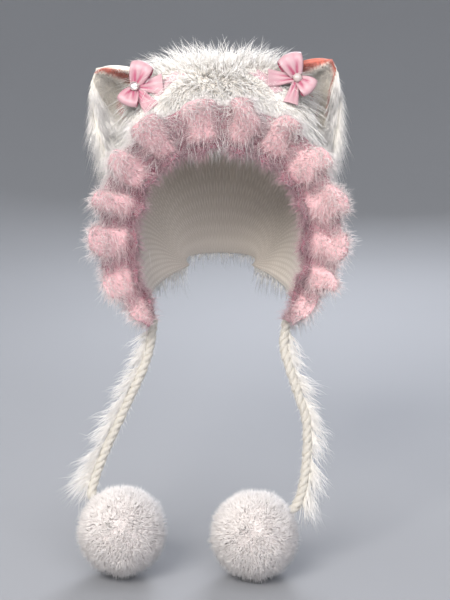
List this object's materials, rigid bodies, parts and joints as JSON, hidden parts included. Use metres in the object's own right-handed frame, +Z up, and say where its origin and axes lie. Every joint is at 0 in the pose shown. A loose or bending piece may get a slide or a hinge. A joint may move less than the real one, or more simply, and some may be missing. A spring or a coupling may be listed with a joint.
{
  "type": "cat-eared fur bonnet with a face ruffle and pompom ties",
  "caption": "Cat-eared bonnet of long eyelash fur with a fluffy ruffle round the face, satin bows at the ears, and twisted fringed ties ending in pompoms",
  "frame": {"origin": "inside of the crown, at its highest point, where the top of the wearer's head rests", "axes": "+Z up, +Y towards the nape, the face opening looks along -Y, +X to the viewer's right"},
  "size_m": [0.3352, 0.3348, 0.635],
  "materials": {
    "white_yarn": "long white eyelash yarn, knitted, warm white",
    "pink_mohair": "brushed pale pink mohair knit with white hairs",
    "cream_plush": "short cream plush with a coral line along the rim",
    "pink_satin": "pink satin ribbon, soft sheen",
    "pale_satin": "thin pale pink satin ribbon",
    "crystal": "faceted acrylic stone with a pearly base",
    "pompom_fur": "dense white faux fur"
  },
  "bodies": {
    "root": {"hood_shell": "white_yarn", "crown_fur": "white_yarn", "ruffle_brim": "pink_mohair", "left_ear_back": "white_yarn", "left_ear_lining": "cream_plush", "left_bow": "pink_satin", "left_bow_streamer": "pale_satin", "left_bow_gem": "crystal", "right_ear_back": "white_yarn", "right_ear_lining": "cream_plush", "right_bow": "pink_satin", "right_bow_streamer": "pale_satin", "right_bow_gem": "crystal", "left_tie": "white_yarn", "left_tie_fringe": "white_yarn", "left_pompom": "pompom_fur", "right_tie": "white_yarn", "right_tie_fringe": "white_yarn", "right_pompom": "pompom_fur"}
  },
  "joints": []
}
